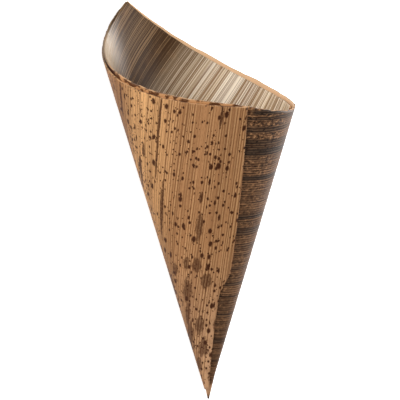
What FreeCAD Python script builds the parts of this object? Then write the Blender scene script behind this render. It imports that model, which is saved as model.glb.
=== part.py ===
import FreeCAD, Part
import math
import os

# A small food cone rolled from one flat piece of dried leaf sheath, lying on its side.
# Lengths are in millimetres and angles in degrees.
# The leaf is described flat, as it was before rolling. The point of the cone is the flat origin,
# the seam edge runs up from it along flat y, and the leaf spreads towards flat x.
# The veins of the leaf run along flat y.

# The cone and its sharp end
half_angle = 16.7
seam_azimuth = 25.0
point_length = 10.0
point_end = 1.0

# The leaf sheet and how tightly its turns lie
leaf_thickness = 0.5
layer_gap = 0.22

# Flat outline: the seam edge, from the free corner of the flap down to the point
seam_length = 103.3
seam_bulge = (-2.0, 46.0)
seam_bulge_end = 0.8
notch_corner = (1.1, 38.8)
seam_foot_x = 0.7
skirt_end = 4.4
skirt_stop_angle = 62.0
skirt_fade_angle = 16.0

# Flat outline: the corners of the rim, and how each rim edge bows away from a straight line
outer_tip = (97.8, 93.0)
shoulder = (100.6, -28.0)
inner_tip = (68.5, -116.2)
inner_corner = (-10.0, -100.0)
flap_rim_bow = 2.6
flap_rim_bow_place = 0.28
side_edge_bow = 1.0
slant_edge_bow = 3.0
slant_edge_bow_place = 0.4

# How the cone lies: the azimuth of the line that faces the ground, and how far to each side of it
# the roll is pressed flat
rest_azimuth = -121.7
pressed_half_width = 5.0

# Largest flat angle between neighbouring points of a cut edge
edge_step = 3.0

SIN = math.sin(math.radians(half_angle))
COS = math.cos(math.radians(half_angle))
TAN = math.tan(math.radians(half_angle))
HALF_TURN = 180.0
UP = FreeCAD.Vector(0.0, 0.0, 1.0)
# How far along their common straight line the cone of each half turn is moved into the one before,
# so that a whole turn lies one thickness and one gap further in
half_turn_shift = (leaf_thickness + layer_gap) / math.sin(math.radians(2.0 * half_angle))


def along(azimuth):
    """Unit vector of the straight line on the cone at an azimuth, away from the point."""
    a = math.radians(azimuth)
    return FreeCAD.Vector(SIN * math.sin(a), -SIN * math.cos(a), COS)


def flat_angle(corner):
    """Angle of a flat corner from the seam, going past 180 on the far side of the leaf."""
    angle = math.degrees(math.atan2(corner[0], corner[1]))
    return angle if angle > -90.0 else angle + 360.0


def edge(start, end, bow=0.0, place=0.5):
    """Flat edge as start, pull point and end of a quadratic curve.

    The pull point stands off the straight line by twice the bow, on the side away from the
    origin, at a place between 0 at the start and 1 at the end.
    """
    dx = end[0] - start[0]
    dy = end[1] - start[1]
    stand_off = 2.0 * bow / math.hypot(dx, dy)
    pull = (start[0] + place * dx - stand_off * dy, start[1] + place * dy + stand_off * dx)
    return start, pull, end


def slant_on(edges, angle):
    """Distance from the point at which the ray at a flat angle meets a run of edges."""
    x = math.sin(math.radians(angle))
    y = math.cos(math.radians(angle))
    for corners in edges:
        if angle <= flat_angle(corners[2]) + 1e-9:
            break
    first, pull, last = [corner[0] * y - corner[1] * x for corner in corners]
    bend = first - 2.0 * pull + last
    slope = first - pull
    if abs(bend) < 1e-9:
        t = first / (first - last)
    else:
        root = math.sqrt(max(slope * slope - bend * first, 0.0))
        choices = [(slope + root) / bend, (slope - root) / bend]
        t = min(choices, key=lambda value: abs(value - 0.5))
    weights = ((1.0 - t) ** 2, 2.0 * t * (1.0 - t), t * t)
    return sum(w * (corner[0] * x + corner[1] * y) for w, corner in zip(weights, corners))


bulge_slant = math.hypot(*seam_bulge)
bulge_top = tuple(value * (1.0 + seam_bulge_end / bulge_slant) for value in seam_bulge)
seam_foot = (seam_foot_x, math.sqrt(point_length ** 2 - seam_foot_x ** 2))
flap_corner = (0.0, seam_length)
rim_edges = [
    edge(bulge_top, flap_corner),
    edge(flap_corner, outer_tip, flap_rim_bow, flap_rim_bow_place),
    edge(outer_tip, shoulder, side_edge_bow),
    edge(shoulder, inner_tip, slant_edge_bow, slant_edge_bow_place),
    edge(inner_tip, inner_corner),
]
seam_edges = [
    edge(seam_bulge, notch_corner),
    edge(notch_corner, seam_foot),
]


def skirt_slant(angle):
    """Lower end of the leaf: the outer turn stops short of the point that the inner turn forms."""
    fade = (angle - skirt_stop_angle) / skirt_fade_angle
    fade = min(max(fade, 0.0), 1.0)
    return skirt_end + (point_end - skirt_end) * fade


def half_turn(angle):
    """Which half turn of the roll a flat angle falls in, counted from the outside."""
    return max(0, math.floor(angle / SIN / HALF_TURN + 1e-9))


def tip(half):
    """Tip of the cone that a half turn lies on."""
    place = FreeCAD.Vector(0.0, 0.0, 0.0)
    for count in range(1, half + 1):
        place += along(seam_azimuth - HALF_TURN * count) * half_turn_shift
    return place


def pressed_angles():
    """Flat angles between which the roll is pressed flat, from the seam outwards."""
    middle = seam_azimuth - rest_azimuth
    return (middle - pressed_half_width) * SIN, (middle + pressed_half_width) * SIN


def ruling(angle):
    """Direction of the straight line of the roll at a flat angle.

    The azimuth turns by the flat angle over the sine of the half angle. Where the roll is pressed
    flat, the line turns evenly in the plane through the two lines at the ends of that strip.
    """
    begin, end = pressed_angles()
    if not begin < angle < end:
        return along(seam_azimuth - angle / SIN)
    first = along(rest_azimuth + pressed_half_width)
    last = along(rest_azimuth - pressed_half_width)
    opening = first.getAngle(last)
    part = opening * (angle - begin) / (end - begin)
    blend = first * math.sin(opening - part) + last * math.sin(part)
    return blend * (1.0 / math.sin(opening))


def rolled(slant, angle, depth, half):
    """Place on the rolled leaf of a flat polar point, at a depth under the outer face.

    The face at a depth lies on a cone whose tip is the depth over the sine further up the axis.
    Below point_length the turns close up evenly towards the sharp end.
    """
    level = max(slant, point_length) - half * half_turn_shift - depth / TAN
    place = tip(half) + UP * (depth / SIN) + ruling(angle) * level
    return place * min(1.0, slant / point_length)


def cone_surface(half, depth):
    """Endless cone of one half turn; its closing line is kept away from the leaf."""
    top = tip(half) + UP * (depth / SIN)
    clear = HALF_TURN / 4.0
    first = along(seam_azimuth - HALF_TURN * (half + 1) - clear)
    line = Part.makeLine(top + first * point_length, top + first * seam_length)
    return line.revolve(top, UP, HALF_TURN + 2.0 * clear).Faces[0].Surface


def curve(points):
    """Smooth edge through points, evenly parametrised so that two such edges pair up."""
    spline = Part.BSplineCurve()
    spline.interpolate(Points=points, Parameters=[float(i) for i in range(len(points))])
    return spline.toShape()


def arc(points):
    """Circular edge from the first to the last point."""
    return Part.Arc(points[0], points[len(points) // 2], points[-1]).toShape()


def leaf_face(upper, lower, half, depth, pressed):
    """Face between two edges and the straight lines at their ends, on a cone or pressed flat."""
    sides = [
        Part.makeLine(upper.Vertexes[end].Point, lower.Vertexes[end].Point) for end in (0, -1)
    ]
    wire = Part.Wire([upper, sides[1], lower, sides[0]])
    if pressed:
        return Part.Face(wire)
    face = Part.Face(cone_surface(half, depth), wire)
    face.validate()
    return face


def leaf_faces():
    """All faces of the rolled leaf, stretch by stretch between the corners of its outline."""
    start = flat_angle(seam_bulge)
    foot = flat_angle(seam_foot)
    finish = flat_angle(inner_corner)
    begin, end = pressed_angles()
    stops = {start, foot, skirt_stop_angle, skirt_stop_angle + skirt_fade_angle}
    stops.update(flat_angle(corners[2]) for corners in rim_edges + seam_edges)
    stops.update(SIN * HALF_TURN * count for count in range(1, half_turn(finish) + 1))
    stops.update((begin, end))
    stops = sorted(stops)
    faces = []
    for left, right in zip(stops[:-1], stops[1:]):
        count = 2 * max(2, math.ceil((right - left) / edge_step / 2.0))
        angles = [left + (right - left) * i / count for i in range(count + 1)]
        half = half_turn((left + right) / 2.0)
        pressed = begin < (left + right) / 2.0 < end
        reaches_end = left > foot - 1e-6
        levels = [[slant_on(rim_edges, angle) for angle in angles]]
        if reaches_end:
            levels.append([point_length] * len(angles))
            levels.append([skirt_slant(angle) for angle in angles])
        else:
            levels.append([slant_on(seam_edges, angle) for angle in angles])
        rims = []
        for depth in (0.0, leaf_thickness):
            rows = []
            for level in levels:
                places = [rolled(slant, angle, depth, half) for slant, angle in zip(level, angles)]
                even = max(level) - min(level) < 1e-9
                rows.append(arc(places) if even else curve(places))
            faces.append(leaf_face(rows[0], rows[1], half, depth, pressed))
            if reaches_end:
                faces.append(Part.makeRuledSurface(rows[1], rows[2]))
            rims.append(rows)
        outer, inner = rims
        faces.append(Part.makeRuledSurface(outer[0], inner[0]))
        faces.append(Part.makeRuledSurface(outer[-1], inner[-1]))
        if left == start:
            faces += end_faces(outer, inner, 0, 0)
        if abs(left - foot) < 1e-6:
            faces += end_faces(outer, inner, 0, 1)
        if right == finish:
            faces += end_faces(outer, inner, -1, 0)
    return faces


def end_faces(outer, inner, end, from_row):
    """Narrow cut faces across the thickness, where the leaf ends along a straight line."""
    faces = []
    for row in range(from_row, len(outer) - 1):
        rows = (outer[row], outer[row + 1], inner[row + 1], inner[row])
        corners = [edges.Vertexes[end].Point for edges in rows]
        faces.append(Part.Face(Part.makePolygon(corners + corners[:1])))
    return faces


def rolled_leaf():
    """The whole leaf as one solid, in the cone's own frame with the point at the origin."""
    shell = Part.makeShell(leaf_faces())
    shell.sewShape()
    solid = Part.makeSolid(shell.Shells[0])
    if solid.Volume < 0.0:
        solid.reverse()
    return solid


def laid_down(solid):
    """Turn the cone onto its pressed strip, mouth towards -y, and set it on the ground."""
    first = along(rest_azimuth + pressed_half_width)
    last = along(rest_azimuth - pressed_half_width)
    up = last.cross(first).normalize()
    back = (first + last).normalize() * -1.0
    right = back.cross(up)
    turn = FreeCAD.Matrix(
        right.x, right.y, right.z, 0.0,
        back.x, back.y, back.z, 0.0,
        up.x, up.y, up.z, 0.0,
        0.0, 0.0, 0.0, 1.0,
    )
    lying = solid.transformed(turn, copy=True)
    box = lying.optimalBoundingBox(False, False)
    lying.translate(FreeCAD.Vector(-box.Center.x, -box.Center.y, -box.ZMin))
    return lying


os.makedirs("parts", exist_ok=True)
leaf = laid_down(rolled_leaf())
leaf.exportStep("parts/rolled_leaf.step")
print("valid", leaf.isValid(), "solids", len(leaf.Solids), "volume", round(leaf.Volume, 1))
print("centre", leaf.Solids[0].CenterOfMass, "box", leaf.optimalBoundingBox(False, False))
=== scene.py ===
import math

import bpy
import numpy as np
from mathutils import Matrix, Vector


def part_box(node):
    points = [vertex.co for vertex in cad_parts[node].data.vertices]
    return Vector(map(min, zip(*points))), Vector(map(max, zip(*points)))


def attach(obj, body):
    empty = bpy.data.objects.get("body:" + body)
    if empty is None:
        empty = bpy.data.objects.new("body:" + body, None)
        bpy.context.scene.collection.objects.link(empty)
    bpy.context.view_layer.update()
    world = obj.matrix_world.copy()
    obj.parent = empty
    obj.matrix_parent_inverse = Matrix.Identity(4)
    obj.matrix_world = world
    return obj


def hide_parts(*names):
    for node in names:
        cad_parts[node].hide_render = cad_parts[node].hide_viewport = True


# A small food cone rolled from one flat piece of dried leaf sheath, lying on its side.
# Sizes are in millimetres and angles in degrees until they go into the mesh.
# The leaf is described flat: the point of the cone is the flat origin, the seam edge and the
# veins run along flat y, and the leaf spreads towards flat x.

MM = 0.001

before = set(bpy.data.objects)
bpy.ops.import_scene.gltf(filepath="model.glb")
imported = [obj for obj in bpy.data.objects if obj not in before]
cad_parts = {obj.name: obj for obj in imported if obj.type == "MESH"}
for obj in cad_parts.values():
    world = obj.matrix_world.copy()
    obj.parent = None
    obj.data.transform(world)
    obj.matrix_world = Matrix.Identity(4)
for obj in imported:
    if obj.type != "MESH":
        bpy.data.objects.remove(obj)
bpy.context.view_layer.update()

# The roll
half_angle = 16.7
seam_azimuth = 25.0
point_length = 10.0
point_end = 1.0
half_turns = 4
leaf_thickness = 0.5
layer_gap = 0.22
rest_azimuth = -121.7
pressed_half_width = 5.0

# The flat outline: seam edge, rim corners and lower end
seam_length = 103.3
seam_bulge = (-2.0, 46.0)
notch_corner = (1.1, 38.8)
seam_foot_x = 0.7
skirt_end = 4.4
skirt_stop_angle = 62.0
skirt_fade_angle = 16.0
outer_tip = (97.8, 93.0)
shoulder = (100.6, -28.0)
inner_tip = (68.5, -116.2)
inner_corner = (-10.0, -100.0)
flap_rim_bow = 2.6
flap_rim_bow_place = 0.28
side_edge_bow = 1.0
slant_edge_bow = 3.0
slant_edge_bow_place = 0.4

# The grid of each face of the leaf, how far its rows crowd towards the rim, and the flat angle over
# which its columns lean towards the seam edge
columns = 480
rows = 88
rim_crowding = 0.35
seam_fade = 14.0
edge_samples = 200

# Small unevenness of the real leaf: a height, and the steps of a broad and a finer wave. The finer
# one has the finer share of the height. Ridges fade below a distance from the point.
corner_lift = 0.3
corner_lift_spread = 14.0
vein_depth = 0.02
vein_steps = (2.2, 1.1)
vein_fade = 30.0
rim_wander = 0.16
rim_steps = (4.0, 1.4)
rim_power = 12
finer_share = 0.6
wander_heights = 4096
wander_start = 1000.0

# The veins lean: flat y below which they do, and how fast
vein_bend_start = 30.0
vein_bend = 0.0013

HALF = math.radians(half_angle)
SIN = math.sin(HALF)
COS = math.cos(HALF)
HALF_TURN = math.pi
half_turn_shift = (leaf_thickness + layer_gap) / math.sin(2.0 * HALF)


def along(azimuth):
    """Unit vectors of the cone's straight lines at azimuths in radians, away from the point."""
    return np.stack([SIN * np.sin(azimuth), -SIN * np.cos(azimuth), COS + 0.0 * azimuth], axis=-1)


def flat_angle(corner):
    """Angle in radians of a flat corner from flat y, going past a half circle on the far side."""
    angle = math.atan2(corner[0], corner[1])
    return angle if angle > -math.pi / 2.0 else angle + 2.0 * math.pi


def edge(start, end, bow=0.0, place=0.5):
    """Quadratic curve from start to end, pulled away from the origin by twice the bow."""
    dx = end[0] - start[0]
    dy = end[1] - start[1]
    stand_off = 2.0 * bow / math.hypot(dx, dy)
    pull = (start[0] + place * dx - stand_off * dy, start[1] + place * dy + stand_off * dx)
    return start, pull, end


def slant_on(edges, angle):
    """Distance from the origin to a run of edges along rays at flat angles.

    Each edge is sampled at even steps of its parameter, and the distance is interpolated by angle.
    """
    t = np.linspace(0.0, 1.0, edge_samples)[:, None]
    places = np.concatenate([
        (1.0 - t) ** 2 * np.array(first) + 2.0 * t * (1.0 - t) * np.array(pull)
        + t ** 2 * np.array(last)
        for first, pull, last in edges
    ])
    angles = np.arctan2(places[:, 0], places[:, 1])
    angles = np.where(angles < -math.pi / 2.0, angles + 2.0 * math.pi, angles)
    return np.interp(angle, angles, np.hypot(places[:, 0], places[:, 1]))


def hump(value, centre, spread):
    """A smooth hump of height 1 at the centre and 0 beyond the spread.

    It is the square of one minus the square of the offset over the spread.
    """
    offset = np.minimum(np.abs(value - centre) / spread, 1.0)
    return (1.0 - offset ** 2) ** 2


def wander(value, step, seed):
    """Smooth random wander between -1 and 1: random heights at even steps, cosine-blended."""
    heights = np.random.default_rng(seed).uniform(-1.0, 1.0, wander_heights)
    place = np.asarray(value) / step + wander_start
    cell = np.floor(place).astype(int)
    blend = 0.5 - 0.5 * np.cos(math.pi * (place - cell))
    return (heights[cell % wander_heights] * (1.0 - blend)
            + heights[(cell + 1) % wander_heights] * blend)


def two_waves(value, steps, seed):
    """A broad wander and a finer one on it."""
    return wander(value, steps[0], seed) + finer_share * wander(value, steps[1], seed + 1)


seam_foot = (seam_foot_x, math.sqrt(point_length ** 2 - seam_foot_x ** 2))
flap_corner = (0.0, seam_length)
rim_edges = [
    edge(flap_corner, outer_tip, flap_rim_bow, flap_rim_bow_place),
    edge(outer_tip, shoulder, side_edge_bow),
    edge(shoulder, inner_tip, slant_edge_bow, slant_edge_bow_place),
    edge(inner_tip, inner_corner),
]
# The tips of the cones of the half turns
tips = np.zeros((half_turns, 3))
for count in range(1, half_turns):
    meeting = math.radians(seam_azimuth) - HALF_TURN * count
    tips[count] = tips[count - 1] + along(np.array(meeting)) * half_turn_shift


def seam_angle(slant):
    """Flat angle of the seam edge at distances from the point."""
    corners = [seam_foot, notch_corner, seam_bulge, flap_corner]
    slants = [math.hypot(*corner) for corner in corners]
    return np.interp(slant, slants, [flat_angle(corner) for corner in corners])


def ruling(angle):
    """Directions of the straight lines of the roll at flat angles.

    The azimuth turns by the flat angle over the sine of the half angle. Where the roll is pressed
    flat, the line turns evenly in the plane through the two lines at the ends of that strip.
    """
    azimuth = math.radians(seam_azimuth) - angle / SIN
    middle = math.radians(rest_azimuth)
    reach = math.radians(pressed_half_width)
    first, last = along(np.array(middle + reach)), along(np.array(middle - reach))
    opening = math.acos(first @ last)
    part = opening * np.clip((middle + reach - azimuth) / (2.0 * reach), 0.0, 1.0)[..., None]
    blend = (first * np.sin(opening - part) + last * np.sin(part)) / math.sin(opening)
    pressed = np.abs(azimuth - middle) < reach
    return np.where(pressed[..., None], blend, along(azimuth))


def rolled(slant, angle, depth):
    """Places on the rolled leaf of flat polar points, at a depth under the outer face.

    Each half turn lies on a cone whose tip is moved along the straight line that it shares with
    the one before, and the face at a depth lies on a cone whose tip is the depth over the sine
    further up the axis. Below point_length everything closes up evenly towards the point.
    """
    half = np.clip(np.floor(angle / SIN / HALF_TURN), 0, half_turns - 1).astype(int)
    depth = np.broadcast_to(depth, angle.shape)
    level = np.maximum(slant, point_length) - half * half_turn_shift - depth * COS / SIN
    place = tips[half] + ruling(angle) * level[..., None]
    place[..., 2] += depth / SIN
    return place * np.minimum(1.0, slant / point_length)[..., None]


# The axes of the lying cone, given in the cone's own frame
pressed_lines = along(np.radians([rest_azimuth + pressed_half_width,
                                  rest_azimuth - pressed_half_width]))
up = np.cross(pressed_lines[1], pressed_lines[0])
up = up / np.linalg.norm(up)
line = -pressed_lines.sum(axis=0) / np.linalg.norm(pressed_lines.sum(axis=0))
right = np.cross(line, up)
lying = np.stack([right, line, up], axis=1)


def leaf_grid():
    """Flat distance and angle of the grid points, rows from the lower end to the rim.

    Columns are spread evenly over the flat angle. Near the seam they lean so that the first one
    follows the seam edge. Rows crowd towards the rim.
    """
    base = np.linspace(0.0, flat_angle(inner_corner), columns)
    rim = slant_on(rim_edges, base)
    fade = (np.degrees(base) - skirt_stop_angle) / skirt_fade_angle
    lower = skirt_end + (point_end - skirt_end) * np.clip(fade, 0.0, 1.0)
    t = np.linspace(0.0, 1.0, rows)
    t = np.sin(t * math.pi / 2.0) * rim_crowding + t * (1.0 - rim_crowding)
    slant = lower + (rim - lower) * t[:, None]
    lean = np.clip(1.0 - np.degrees(base) / seam_fade, 0.0, 1.0)
    angle = base + seam_angle(slant) * lean
    return slant, angle


def leaf_faces(slant, angle, detail):
    """Outer and inner grids of places in the cone's own frame.

    With detail the rim wanders a little, the veins stand proud in fine ridges along flat y, and
    the free corner of the flap lifts off.
    """
    x = slant * np.sin(angle)
    y = slant * np.cos(angle)
    if detail:
        reach = slant / slant[-1]
        arc = angle[-1] * slant[-1]
        slant = slant + rim_wander * two_waves(arc, rim_steps, 1) * reach ** rim_power
        ridges = vein_depth * two_waves(x, vein_steps, 3)
        lift = corner_lift * hump(np.degrees(angle), 0.0, corner_lift_spread) * reach ** 2
        offset = -(ridges * np.minimum(1.0, slant / vein_fade) + lift)
    else:
        offset = np.zeros_like(slant)
    outer = rolled(slant, angle, offset)
    inner = rolled(slant, angle, offset + leaf_thickness)
    return outer, inner, x, y


def leaf_mesh():
    """One closed mesh of the leaf: two grids joined by narrow strips round all four sides.

    The plain grids show how far to move the cone so that it lies in the solid's box.
    """
    slant, angle = leaf_grid()
    outer, inner, _, _ = leaf_faces(slant, angle, False)
    plain = np.concatenate([outer.reshape(-1, 3), inner.reshape(-1, 3)]) @ lying
    low, high = [np.array(corner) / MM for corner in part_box("rolled_leaf")]
    middle = (plain.min(axis=0) + plain.max(axis=0)) / 2.0
    move = (low + high) / 2.0 - middle
    move[2] = low[2] - plain[:, 2].min()

    outer, inner, x, y = leaf_faces(slant, angle, True)
    points = np.concatenate([outer.reshape(-1, 3), inner.reshape(-1, 3)]) @ lying + move
    # The ground presses flat the ridges that it meets
    points[:, 2] = np.maximum(points[:, 2], low[2])
    number = np.arange(rows * columns).reshape(rows, columns)
    behind = rows * columns
    a, b = number[:-1, :-1].ravel(), number[:-1, 1:].ravel()
    c, d = number[1:, 1:].ravel(), number[1:, :-1].ravel()
    outer_quads = np.stack([d, c, b, a], axis=1)
    inner_quads = outer_quads[:, ::-1] + behind
    around = np.concatenate([
        number[0, :], number[1:, -1], number[-1, -2::-1], number[-2:0:-1, 0], number[:1, 0],
    ])
    cut_quads = np.stack([
        around[:-1], around[1:], around[1:] + behind, around[:-1] + behind,
    ], axis=1)
    quads = np.concatenate([outer_quads, inner_quads, cut_quads])
    kinds = np.repeat([0, 1, 2], [len(outer_quads), len(inner_quads), len(cut_quads)])

    mesh = bpy.data.meshes.new("leaf_sheet")
    mesh.from_pydata((points * MM).tolist(), [], quads.tolist())
    flat = np.stack([x, y, slant[-1] - slant], axis=-1).reshape(-1, 3)
    flat = np.concatenate([flat, flat])
    attribute = mesh.attributes.new("flat_place", "FLOAT_VECTOR", "POINT")
    attribute.data.foreach_set("vector", flat.astype(np.float32).ravel())
    mesh.polygons.foreach_set("material_index", kinds.astype(np.int32))
    mesh.polygons.foreach_set("use_smooth", kinds < 2)
    mesh.update()
    return mesh, move


def node(tree, kind, inputs=None, **settings):
    """Add a node, set its properties, then set or link its inputs, given by name or number."""
    made = tree.nodes.new(kind)
    for name, value in settings.items():
        setattr(made, name, value)
    for key, value in (inputs or {}).items():
        socket = made.inputs[key]
        if isinstance(value, bpy.types.NodeSocket):
            tree.links.new(value, socket)
        else:
            socket.default_value = value
    return made


def maths(tree, operation, *values):
    """Output of a Math node."""
    inputs = dict(enumerate(values))
    return node(tree, "ShaderNodeMath", inputs, operation=operation).outputs[0]


def ramp(tree, value, low, high, to_low=0.0, to_high=1.0):
    """A smooth step of a value from one level to another."""
    inputs = {"Value": value, "From Min": low, "From Max": high, "To Min": to_low,
              "To Max": to_high}
    made = node(tree, "ShaderNodeMapRange", inputs, interpolation_type="SMOOTHSTEP")
    return made.outputs["Result"]


def mix(tree, factor, first, second):
    """Mix of two colours."""
    made = tree.nodes.new("ShaderNodeMix")
    made.data_type = "RGBA"
    for socket, value in ((made.inputs["Factor"], factor), (made.inputs[6], first),
                          (made.inputs[7], second)):
        if isinstance(value, bpy.types.NodeSocket):
            tree.links.new(value, socket)
        else:
            socket.default_value = value
    return made.outputs[2]


def colour(red, green, blue):
    """Linear colour from values of 0 to 255 as a screen shows them."""
    def linear(value):
        value = value / 255.0
        return value / 12.92 if value <= 0.04045 else ((value + 0.055) / 1.055) ** 2.4
    return linear(red), linear(green), linear(blue), 1.0


def new_group(name, inputs, outputs):
    """Empty node group with float inputs and outputs; an input named place is a vector."""
    group = bpy.data.node_groups.new(name, "ShaderNodeTree")
    for item in inputs:
        kind = "NodeSocketVector" if item == "place" else "NodeSocketFloat"
        group.interface.new_socket(item, in_out="INPUT", socket_type=kind)
    for item in outputs:
        group.interface.new_socket(item, in_out="OUTPUT", socket_type="NodeSocketFloat")
    return group, group.nodes.new("NodeGroupInput"), group.nodes.new("NodeGroupOutput")


def use_group(tree, group, **inputs):
    """Place a group in a tree and set or link its inputs."""
    made = tree.nodes.new("ShaderNodeGroup")
    made.node_tree = group
    for name, value in inputs.items():
        if isinstance(value, bpy.types.NodeSocket):
            tree.links.new(value, made.inputs[name])
        else:
            made.inputs[name].default_value = value
    return made.outputs


def vein_group():
    """Position across and along the veins, in mm.

    The veins run along flat y near the seam and lean towards flat x beyond it: the position
    across them is x plus the bend times the square of the distance of y below the bend's start.
    """
    group, start, end = new_group("vein_place", ["place"], ["across", "along"])
    parts = node(group, "ShaderNodeSeparateXYZ", {0: start.outputs["place"]})
    past = maths(group, "SUBTRACT", vein_bend_start, parts.outputs[1])
    past = maths(group, "MAXIMUM", past, 0.0)
    bend = maths(group, "MULTIPLY", maths(group, "MULTIPLY", past, past), vein_bend)
    across = maths(group, "ADD", parts.outputs[0], bend)
    group.links.new(across, end.inputs["across"])
    group.links.new(parts.outputs[1], end.inputs["along"])
    return group


def streak_group():
    """Noise drawn out along the veins: one value for each width and length of a streak, in mm."""
    group, start, end = new_group(
        "vein_streaks", ["across", "along", "width", "length", "shift", "detail"], ["value"])
    sideways = maths(group, "DIVIDE", start.outputs["across"], start.outputs["width"])
    lengthways = maths(group, "DIVIDE", start.outputs["along"], start.outputs["length"])
    place = node(group, "ShaderNodeCombineXYZ",
                 {0: sideways, 1: lengthways, 2: start.outputs["shift"]})
    noise = node(group, "ShaderNodeTexNoise",
                 {"Vector": place.outputs[0], "Scale": 1.0, "Detail": start.outputs["detail"],
                  "Roughness": 0.55})
    group.links.new(noise.outputs["Fac"], end.inputs["value"])
    return group


def line_group():
    """Close lines along the veins: a sine across them whose phase wanders slowly.

    Its depth fades in and out along and across the leaf. The value is near 0 on a line.
    """
    group, start, end = new_group(
        "vein_lines", ["across", "along", "spacing", "shift", "wander"], ["value"])
    place = node(group, "ShaderNodeCombineXYZ", {
        0: maths(group, "DIVIDE", start.outputs["across"], 3.0),
        1: maths(group, "DIVIDE", start.outputs["along"], 90.0), 2: start.outputs["shift"]})
    noise = node(group, "ShaderNodeTexNoise", {"Vector": place.outputs[0], "Scale": 1.0,
                                               "Detail": 3.0})
    turns = maths(group, "DIVIDE", start.outputs["across"], start.outputs["spacing"])
    phase = maths(group, "MULTIPLY_ADD", noise.outputs["Fac"], start.outputs["wander"], turns)
    wave = maths(group, "SINE", maths(group, "MULTIPLY", phase, 2.0 * math.pi))
    place = node(group, "ShaderNodeCombineXYZ", {
        0: start.outputs["across"], 1: maths(group, "DIVIDE", start.outputs["along"], 25.0),
        2: start.outputs["shift"]})
    fade = node(group, "ShaderNodeTexNoise", {"Vector": place.outputs[0], "Scale": 0.6,
                                              "Detail": 1.0})
    depth = ramp(group, fade.outputs["Fac"], 0.3, 0.6, 0.15, 0.5)
    group.links.new(maths(group, "MULTIPLY_ADD", wave, depth, 0.5), end.inputs["value"])
    return group


def speck_group():
    """Oval dark specks: one in some of the cells of a drawn-out Voronoi pattern.

    A cell holds a speck if its random number is under the share, and the speck's radius is a
    random part of the largest radius.
    """
    group, start, end = new_group(
        "leaf_specks", ["across", "along", "width", "length", "shift", "share", "radius"],
        ["value"])
    ragged = node(group, "ShaderNodeCombineXYZ",
                  {0: start.outputs["across"], 1: start.outputs["along"]})
    noise = node(group, "ShaderNodeTexNoise", {"Vector": ragged.outputs[0], "Scale": 1.3,
                                               "Detail": 2.0})
    push = maths(group, "MULTIPLY", maths(group, "SUBTRACT", noise.outputs["Fac"], 0.5), 0.5)
    sideways = maths(group, "DIVIDE", maths(group, "ADD", start.outputs["across"], push),
                     start.outputs["width"])
    lengthways = maths(group, "DIVIDE", start.outputs["along"], start.outputs["length"])
    place = node(group, "ShaderNodeCombineXYZ",
                 {0: sideways, 1: lengthways, 2: start.outputs["shift"]})
    cells = node(group, "ShaderNodeTexVoronoi", {"Vector": place.outputs[0], "Scale": 1.0},
                 voronoi_dimensions="2D")
    chance = node(group, "ShaderNodeSeparateColor", {0: cells.outputs["Color"]})
    here = maths(group, "LESS_THAN", chance.outputs[0], start.outputs["share"])
    part = maths(group, "MULTIPLY", chance.outputs[1], chance.outputs[1])
    size = maths(group, "MULTIPLY", maths(group, "MULTIPLY_ADD", part, 0.62, 0.38),
                 start.outputs["radius"])
    rim = maths(group, "DIVIDE", cells.outputs["Distance"], size)
    spot = ramp(group, rim, 1.1, 0.5)
    group.links.new(maths(group, "MULTIPLY", spot, here), end.inputs["value"])
    return group


def stroke_group():
    """A soft drawn-out mark: 1 inside an oval about a centre and 0 outside, with ragged sides."""
    group, start, end = new_group(
        "leaf_stroke", ["across", "along", "centre_across", "centre_along", "half_width",
                        "half_length", "ragged"], ["value"])
    across = maths(group, "SUBTRACT", start.outputs["across"], start.outputs["centre_across"])
    lengthways = maths(group, "SUBTRACT", start.outputs["along"], start.outputs["centre_along"])
    across = maths(group, "DIVIDE", across, start.outputs["half_width"])
    lengthways = maths(group, "DIVIDE", lengthways, start.outputs["half_length"])
    square = maths(group, "ADD", maths(group, "MULTIPLY", across, across),
                   maths(group, "MULTIPLY", lengthways, lengthways))
    value = ramp(group, maths(group, "ADD", square, start.outputs["ragged"]), 1.35, 0.6)
    group.links.new(value, end.inputs["value"])
    return group


vein_place = vein_group()
vein_streaks = streak_group()
vein_lines = line_group()
leaf_specks = speck_group()
leaf_stroke = stroke_group()

# Colours as a screen shows them: the flap, the side bands, the cut edge and rim, and the inside
GOLDEN_TAN = colour(238, 182, 124)
TAN = colour(180, 130, 87)
LOW_TAN = colour(198, 152, 114)
PALE_RIDGE = colour(206, 160, 112)
WARM_BROWN = colour(104, 66, 38)
SPECK_BROWN = colour(56, 23, 8)
BAND_TAN = colour(140, 102, 71)
BAND_BROWN = colour(76, 52, 35)
BAND_GREY = colour(94, 73, 57)
BAND_BLACK = colour(36, 25, 18)
WORM_TAN = colour(180, 132, 92)
CUT_TAN = colour(214, 166, 118)
CUT_BROWN = colour(92, 56, 32)
CUT_GREY = colour(122, 100, 78)
RIM_TAN = colour(224, 182, 140)
EDGE_TAN = colour(190, 138, 92)
GREY_BROWN = colour(114, 81, 50)
UMBER = colour(76, 53, 30)
SHADE_BROWN = colour(62, 39, 19)
SILK_BROWN = colour(130, 92, 56)
SILVER = colour(222, 198, 165)
SILVER_LINE = colour(246, 231, 209)
DULL_LINE = colour(142, 111, 78)

# Long dark marks on the flap: centre across and along the veins, half width and half length
long_marks = [
    (28.1, 94.0, 0.5, 10.0),
    (27.9, 82.0, 0.4, 9.0),
    (24.7, 63.0, 0.75, 11.0),
    (46.3, 94.0, 0.7, 8.0),
    (8.2, 100.0, 0.5, 3.6),
    (36.2, 71.0, 0.9, 7.5),
    (34.0, 81.0, 0.8, 2.6),
    (11.2, 72.0, 0.6, 2.2),
]
# Dark bands where the side of the roll shows
dark_bands = [
    (102.6, -10.0, 0.8, 20.0),
    (89.0, -10.0, 1.3, 25.0),
    (80.0, -10.0, 0.7, 20.0),
    (66.3, -10.0, 0.6, 20.0),
]
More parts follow.
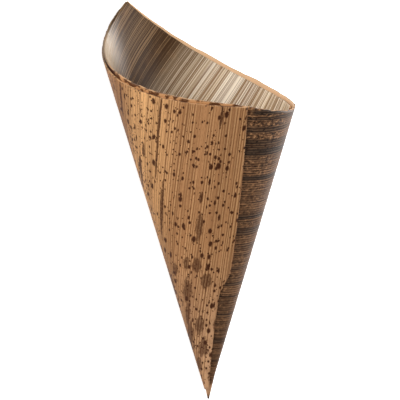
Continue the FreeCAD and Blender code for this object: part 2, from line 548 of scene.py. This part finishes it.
# Brown streaks inside, and bright silky stretches: pale fibres with painted sheen on them
silk_streaks = [
    (35.9, -101.0, 0.6, 9.0),
    (42.0, -103.0, 0.8, 10.0),
    (39.3, -101.0, 0.3, 8.0),
    (53.5, -104.0, 0.5, 12.0),
]
pale_silk_and_sheen = [
    (46.3, -104.0, 3.4, 16.0),
    (38.8, -102.0, 2.2, 14.0),
    (56.5, -106.0, 1.2, 14.0),
]
# Broad smudges near the lower end
smudges = [
    (10.6, 61.5, 1.2, 4.6),
    (9.8, 48.0, 1.6, 2.6),
    (13.4, 47.5, 1.0, 2.4),
    (6.0, 43.0, 1.7, 3.0),
    (12.0, 38.0, 1.6, 5.0),
    (11.0, 29.5, 1.1, 5.0),
    (27.0, 42.0, 1.6, 3.4),
    (17.5, 43.5, 1.2, 2.4),
    (20.0, 35.0, 1.4, 3.6),
    (6.4, 27.0, 1.4, 3.6),
    (9.6, 22.5, 1.5, 4.5),
    (4.4, 19.0, 1.3, 3.4),
    (5.4, 12.5, 1.2, 2.6),
]
# Layers of specks: width and length of a cell, shift that picks the pattern, share of the cells
# that hold a speck, how much that grows where specks crowd, and largest radius
speck_layers = [
    (2.8, 4.4, 3.0, 0.55, 0.2, 0.35),
    (1.9, 2.5, 8.0, 0.5, 0.25, 0.3),
    (1.3, 1.6, 14.0, 0.22, 0.25, 0.26),
    (2.2, 6.0, 25.0, 0.2, 0.25, 0.26),
]
# Layers of drawn marks: the list, how ragged their sides are, and how dark they get
mark_layers = [
    (long_marks, 2.2, 0.9),
    (smudges, 3.4, 0.74),
]
bump_distance = 0.0002


def leaf_base(name):
    """New material with its tree, shader, flat place and vein position, and its two patterns.

    Streaks are noise of a width and length in mm, with a shift that picks the pattern and a detail.
    Lines stand at a spacing in mm, with a shift and how far they wander.
    """
    material = bpy.data.materials.new(name)
    material.use_nodes = True
    tree = material.node_tree
    shader = tree.nodes["Principled BSDF"]
    flat = node(tree, "ShaderNodeAttribute", attribute_name="flat_place")
    veins = use_group(tree, vein_place, place=flat.outputs["Vector"])
    across, lengthways = veins["across"], veins["along"]

    def streaks(width, length, shift, detail=2.0):
        return use_group(tree, vein_streaks, across=across, along=lengthways, width=width,
                         length=length, shift=shift, detail=detail)["value"]

    def lines(spacing, shift, wander=2.0):
        return use_group(tree, vein_lines, across=across, along=lengthways, spacing=spacing,
                         shift=shift, wander=wander)["value"]

    return material, tree, shader, flat, across, lengthways, streaks, lines


def parts_flat(tree, parts):
    """Flat place without its third value."""
    return node(tree, "ShaderNodeCombineXYZ",
                {0: parts.outputs[0], 1: parts.outputs[1]}).outputs[0]


def all_strokes(tree, across, lengthways, listed, uneven, unevenness):
    """The listed strokes together; an uneven value makes their sides ragged."""
    ragged = maths(tree, "MULTIPLY", uneven, unevenness)
    marks = 0.0
    for centre_across, centre_along, half_width, half_length in listed:
        stroke = use_group(
            tree, leaf_stroke, across=across, along=lengthways, centre_across=centre_across,
            centre_along=centre_along, half_width=half_width, half_length=half_length,
            ragged=ragged)["value"]
        marks = maths(tree, "MAXIMUM", marks, stroke)
    return marks


def finish(tree, shader, face, relief, bump_strength, roughness, specular):
    """Link the colour and the relief to the shader, and set how the leaf shines."""
    tree.links.new(face, shader.inputs["Base Color"])
    bump = node(tree, "ShaderNodeBump",
                {"Height": relief, "Strength": bump_strength, "Distance": bump_distance})
    tree.links.new(bump.outputs[0], shader.inputs["Normal"])
    shader.inputs["Roughness"].default_value = roughness
    shader.inputs["Specular IOR Level"].default_value = specular


def outer_face():
    """Mottled outside: tan with fine veins, dark specks and marks, and dark bands at the side."""
    material, tree, shader, flat, across, lengthways, streaks, lines = leaf_base("leaf_outside")
    parts = node(tree, "ShaderNodeSeparateXYZ", {0: flat.outputs["Vector"]})
    turn = maths(tree, "ARCTAN2", parts.outputs[0], parts.outputs[1])
    side = ramp(tree, maths(tree, "ABSOLUTE", maths(tree, "SUBTRACT", turn, 1.6)), 0.75, 0.35)

    fine = streaks(0.34, 60.0, 9.0, 2.0)
    middle = streaks(1.7, 110.0, 5.0)
    broad = streaks(6.0, 160.0, 0.0)
    close = lines(0.85, 2.0)
    # Golden tan band across the flap. It is partly the leaf's own colour and partly painted light:
    # lightest where the lamp falls, then painted shade as the flap turns towards its silhouette.
    lit_golden_band = maths(tree, "MULTIPLY", ramp(tree, across, 18.0, 33.0),
                   ramp(tree, across, 46.0, 39.0))
    lower = ramp(tree, lengthways, 60.0, 15.0)
    ground = mix(tree, lower, TAN, LOW_TAN)
    ground = mix(tree, lit_golden_band, ground, GOLDEN_TAN)
    ground = mix(tree, ramp(tree, broad, 0.4, 0.65, 0.0, 0.25), ground, WARM_BROWN)
    ground = mix(tree, ramp(tree, middle, 0.52, 0.66, 0.0, 0.3), ground, WARM_BROWN)
    ground = mix(tree, ramp(tree, close, 0.4, 0.0, 0.0, 0.75), ground, WARM_BROWN)
    ground = mix(tree, ramp(tree, close, 0.6, 1.0, 0.0, 0.7), ground, PALE_RIDGE)
    ground = mix(tree, ramp(tree, fine, 0.51, 0.65, 0.0, 0.5), ground, WARM_BROWN)
    flecks = ramp(tree, streaks(0.3, 1.2, 66.0), 0.45, 0.7, 0.0, 0.25)
    ground = mix(tree, flecks, ground, WARM_BROWN)
    cloud = maths(tree, "MULTIPLY", ramp(tree, streaks(2.6, 5.0, 77.0, 3.0), 0.46, 0.62), lower)
    ground = mix(tree, maths(tree, "MULTIPLY", cloud, 0.3), ground, WARM_BROWN)

    uneven = maths(tree, "SUBTRACT", streaks(0.9, 1.8, 50.0, 3.0), 0.5)
    band = ramp(tree, streaks(3.0, 140.0, 20.0, 3.0), 0.44, 0.62, 0.0, 0.8)
    listed = all_strokes(tree, across, lengthways, dark_bands, uneven, 1.0)
    band = maths(tree, "MAXIMUM", band, listed)
    line = lines(0.8, 31.0, 1.2)
    thread = streaks(0.3, 14.0, 37.0, 3.0)
    line_share = ramp(tree, parts.outputs[0], 15.0, 45.0, 0.12, 0.4)
    groove = maths(tree, "MULTIPLY_ADD", maths(tree, "SUBTRACT", line, 0.5), line_share, thread)
    groove = ramp(tree, groove, 0.32, 0.75)
    dark = mix(tree, band, BAND_BROWN, BAND_BLACK)
    pale = mix(tree, band, BAND_TAN, BAND_GREY)
    banded = mix(tree, groove, dark, pale)
    crumb = streaks(0.7, 1.5, 44.0, 3.0)
    spotted = maths(tree, "MULTIPLY", ramp(tree, parts.outputs[0], 76.0, 92.0, 0.5, 1.0),
                    ramp(tree, parts.outputs[1], 0.0, -9.0, 0.15, 1.0))
    worm = maths(tree, "MULTIPLY", ramp(tree, crumb, 0.55, 0.62), ramp(tree, band, 0.7, 0.1))
    banded = mix(tree, maths(tree, "MULTIPLY", worm, spotted), banded, WORM_TAN)
    pit = maths(tree, "MULTIPLY", ramp(tree, crumb, 0.46, 0.38), spotted)
    banded = mix(tree, pit, banded, BAND_BLACK)
    face = mix(tree, side, ground, banded)

    flap = maths(tree, "SUBTRACT", 1.0, side)
    crowded = maths(tree, "MAXIMUM", ramp(tree, across, 26.0, 32.0), lower)
    flocks = ramp(tree, streaks(5.0, 11.0, 95.0), 0.4, 0.6, 0.6, 1.3)
    marks = 0.0
    for width, length, shift, share, more, radius in speck_layers:
        share = maths(tree, "MULTIPLY", maths(tree, "MULTIPLY_ADD", crowded, more, share), flocks)
        spots = use_group(tree, leaf_specks, across=across, along=lengthways, width=width,
                          length=length, shift=shift, radius=radius, share=share)["value"]
        marks = maths(tree, "MAXIMUM", marks, spots)
    grain = streaks(0.5, 0.9, 130.0)
    for listed, unevenness, strength in mark_layers:
        strokes = all_strokes(tree, across, lengthways, listed, uneven, unevenness)
        strokes = maths(tree, "MULTIPLY", strokes, ramp(tree, grain, 0.35, 0.55, 0.75, 1.0))
        marks = maths(tree, "MAXIMUM", marks, maths(tree, "MULTIPLY", strokes, strength))
    blotch = ramp(tree, streaks(2.2, 5.0, 61.0, 3.0), 0.60, 0.68)
    marks = maths(tree, "MAXIMUM", marks, maths(tree, "MULTIPLY", blotch, lower))
    marks = maths(tree, "MULTIPLY", marks, ramp(tree, flap, 0.0, 1.0, 0.3, 0.95))
    face = mix(tree, marks, face, SPECK_BROWN)
    near_edge = maths(tree, "MULTIPLY", ramp(tree, parts.outputs[2], 2.8, 2.0),
                      ramp(tree, parts.outputs[1], -20.0, -24.0))
    patches = ramp(tree, streaks(2.4, 2.4, 140.0, 3.0), 0.46, 0.55)
    rim_patches_and_gap_shade = mix(tree, patches, EDGE_TAN, CUT_BROWN)
    # Painted shade: beyond flat y -75 the strip near the rim is darkened, where it shows only in
    # the narrow gap between the turns.
    rim_patches_and_gap_shade = mix(tree, ramp(tree, parts.outputs[1], -70.0, -75.0), rim_patches_and_gap_shade, SPECK_BROWN)
    face = mix(tree, near_edge, face, rim_patches_and_gap_shade)
    slant = node(tree, "ShaderNodeVectorMath", {0: parts_flat(tree, parts)}, operation="LENGTH")
    face = mix(tree, ramp(tree, slant.outputs["Value"], 7.0, 5.0, 0.0, 0.7), face, LOW_TAN)
    face = mix(tree, ramp(tree, slant.outputs["Value"], 3.6, 1.2, 0.0, 0.9), face, SPECK_BROWN)
    relief = maths(tree, "ADD", maths(tree, "MULTIPLY_ADD", line, 0.5, fine), close)
    finish(tree, shader, face, relief, 0.2, 0.5, 0.06)
    return material


def inner_face():
    """Silky inside: grey brown, paler and silvery towards the far end, in fine lengthwise lines."""
    material, tree, shader, flat, across, lengthways, streaks, lines = leaf_base("leaf_inside")
    fine = streaks(0.3, 160.0, 70.0, 2.0)
    middle = streaks(1.2, 160.0, 76.0, 2.0)
    broad = streaks(4.0, 90.0, 83.0, 2.0)
    close = lines(0.8, 91.0, 1.0)
    silvery = ramp(tree, across, 76.0, 50.0)
    parts = node(tree, "ShaderNodeSeparateXYZ", {0: flat.outputs["Vector"]})
    # Lighter grey brown towards the fold than the umber deeper in. This is the leaf's own colour,
    # kept lighter at the fold partly as painted highlight under the glare.
    fold = ramp(tree, parts.outputs[1], -94.0, -76.0)
    ground = mix(tree, fold, UMBER, GREY_BROWN)
    mottle = streaks(6.0, 9.0, 120.0, 4.0)
    ground = mix(tree, ramp(tree, mottle, 0.5, 0.7, 0.0, 0.5), ground, SILK_BROWN)
    # Painted highlight: the glare on the fold near the far edge is painted in silver, and the fine
    # lines fade under it.
    painted_fold_glare = maths(tree, "MULTIPLY", ramp(tree, parts.outputs[0], 64.0, 76.0),
                       ramp(tree, parts.outputs[1], -107.0, -94.0))
    ground = mix(tree, maths(tree, "MULTIPLY", painted_fold_glare, 0.7), ground, SILVER)
    ground = mix(tree, silvery, ground, SILVER)
    uneven = maths(tree, "SUBTRACT", broad, 0.5)
    # Painted sheen on pale fibres: the bright silky stretches are lightened towards near white.
    pale_and_sheen_mask = all_strokes(tree, across, lengthways, pale_silk_and_sheen, uneven, 2.0)
    ground = mix(tree, maths(tree, "MULTIPLY", pale_and_sheen_mask, 0.85), ground, SILVER_LINE)
    shade = mix(tree, silvery, SHADE_BROWN, SILK_BROWN)
    lined = mix(tree, ramp(tree, broad, 0.48, 0.62, 0.0, 0.4), ground, shade)
    lined = mix(tree, ramp(tree, middle, 0.52, 0.62, 0.0, 0.5), lined, shade)
    lined = mix(tree, ramp(tree, fine, 0.5, 0.62, 0.0, 0.75), lined, shade)
    lined = mix(tree, ramp(tree, close, 0.4, 0.0, 0.0, 0.5), lined, shade)
    ground = mix(tree, ramp(tree, painted_fold_glare, 0.0, 1.0, 1.0, 0.45), ground, lined)
    streaked = all_strokes(tree, across, lengthways, silk_streaks, uneven, 2.0)
    ground = mix(tree, maths(tree, "MULTIPLY", streaked, 0.6), ground, SILK_BROWN)
    pale_line = mix(tree, silvery, DULL_LINE, SILVER_LINE)
    paler = maths(tree, "MULTIPLY", ramp(tree, fine, 0.47, 0.38), 0.95)
    ground = mix(tree, paler, ground, pale_line)
    rim = maths(tree, "MULTIPLY", ramp(tree, parts.outputs[2], 3.0, 1.0),
                ramp(tree, parts.outputs[1], -60.0, -40.0))
    ground = mix(tree, rim, ground, RIM_TAN)
    finish(tree, shader, ground, fine, 0.12, 0.38, 0.12)
    return material


def cut_edge():
    """Pale cut edge with dark lengths, duller round the tall tip."""
    material, tree, shader, flat, _, _, streaks, _ = leaf_base("leaf_cut_edge")
    patches = streaks(3.2, 3.2, 90.0, 3.0)
    parts = node(tree, "ShaderNodeSeparateXYZ", {0: flat.outputs["Vector"]})
    slant = node(tree, "ShaderNodeVectorMath", {0: parts_flat(tree, parts)}, operation="LENGTH")
    tall = ramp(tree, slant.outputs["Value"], 111.0, 120.0)
    ground = mix(tree, ramp(tree, patches, 0.47, 0.54, 0.0, 0.9), CUT_TAN, CUT_BROWN)
    ground = mix(tree, tall, ground, CUT_GREY)
    tree.links.new(ground, shader.inputs["Base Color"])
    shader.inputs["Roughness"].default_value = 0.7
    return material


mesh, move = leaf_mesh()
for material in (outer_face(), inner_face(), cut_edge()):
    mesh.materials.append(material)
leaf = bpy.data.objects.new("leaf_sheet", mesh)
bpy.context.scene.collection.objects.link(leaf)
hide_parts("rolled_leaf")
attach(leaf, "root")


# The camera, set by where the cone's point stands before it: right of, below and beyond the lens
view_pitch = math.radians(7.0)
view_roll = math.radians(-0.2)
point_from_camera = (2.72, -65.85, 1089.0)
lens = 300.0
sensor_width = 36.0

# The surroundings, in metres
floor_half_side = 3.0
floor_glow = 0.85
sky_strength = 0.4
aim_height = 0.03


def add_camera():
    """Camera beside the cone, with the cone's axis upright in the picture.

    It gives back the picture's right, up and towards the camera, in the frame's axes.
    """
    across = np.array([1.0, 0.0, 0.0])
    upright = np.array([0.0, math.sin(view_pitch), math.cos(view_pitch)])
    forward = np.array([0.0, math.cos(view_pitch), -math.sin(view_pitch)])
    image_right = math.cos(view_roll) * across + math.sin(view_roll) * upright
    image_up = math.cos(view_roll) * upright - math.sin(view_roll) * across
    place = -(point_from_camera[0] * image_right + point_from_camera[1] * image_up
              + point_from_camera[2] * forward)
    axes = np.stack([image_right, image_up, -forward]) @ lying
    where = (place @ lying + move) * MM
    camera = bpy.data.cameras.new("camera")
    camera.lens = lens
    camera.sensor_width = sensor_width
    seen = bpy.data.objects.new("camera", camera)
    seen.matrix_world = Matrix.Translation(Vector(where)) @ Matrix(axes.T.tolist()).to_4x4()
    bpy.context.scene.collection.objects.link(seen)
    bpy.context.scene.camera = seen
    return axes


axes = add_camera()


def add_floor():
    """Wide pale floor that the camera sees as white, with the cone's soft shadow on it."""
    half = floor_half_side
    mesh = bpy.data.meshes.new("floor")
    mesh.from_pydata([(-half, -half, 0), (half, -half, 0), (half, half, 0), (-half, half, 0)],
                     [], [(0, 1, 2, 3)])
    material = bpy.data.materials.new("floor_white")
    material.use_nodes = True
    tree = material.node_tree
    shader = tree.nodes["Principled BSDF"]
    shader.inputs["Base Color"].default_value = (0.8, 0.8, 0.8, 1.0)
    shader.inputs["Roughness"].default_value = 0.9
    shader.inputs["Specular IOR Level"].default_value = 0.0
    path = tree.nodes.new("ShaderNodeLightPath")
    seen = maths(tree, "MAXIMUM", path.outputs["Is Camera Ray"], path.outputs["Is Glossy Ray"])
    seen = maths(tree, "MAXIMUM", seen, path.outputs["Is Transmission Ray"])
    shader.inputs["Emission Color"].default_value = (1.0, 1.0, 1.0, 1.0)
    tree.links.new(maths(tree, "MULTIPLY", seen, floor_glow), shader.inputs["Emission Strength"])
    mesh.materials.append(material)
    floor = bpy.data.objects.new("floor", mesh)
    bpy.context.scene.collection.objects.link(floor)


def add_lamp(name, direction, distance, size, power):
    """Square soft lamp that looks at the cone from a direction given in the picture's axes.

    The direction is right, up and towards the camera.
    """
    way = np.array(direction) @ axes
    way = way / np.linalg.norm(way)
    lamp = bpy.data.lights.new(name, "AREA")
    lamp.size = size
    lamp.energy = power
    made = bpy.data.objects.new(name, lamp)
    made.location = Vector(way * distance) + Vector((0.0, 0.0, aim_height))
    made.rotation_euler = Vector(way).to_track_quat("Z", "Y").to_euler()
    bpy.context.scene.collection.objects.link(made)


add_floor()
add_lamp("left_low", (-0.45, 0.2, 0.9), 1.0, 0.4, 6.0)
add_lamp("right_side", (1.0, 0.4, 0.1), 1.0, 0.6, 4.0)
add_lamp("right_back", (1.0, 0.2, -0.8), 0.8, 0.3, 7.0)

world = bpy.data.worlds.new("studio")
world.use_nodes = True
background = world.node_tree.nodes["Background"]
background.inputs["Color"].default_value = (1.0, 1.0, 1.0, 1.0)
background.inputs["Strength"].default_value = sky_strength
bpy.context.scene.world = world
bpy.context.scene.view_settings.view_transform = "Standard"
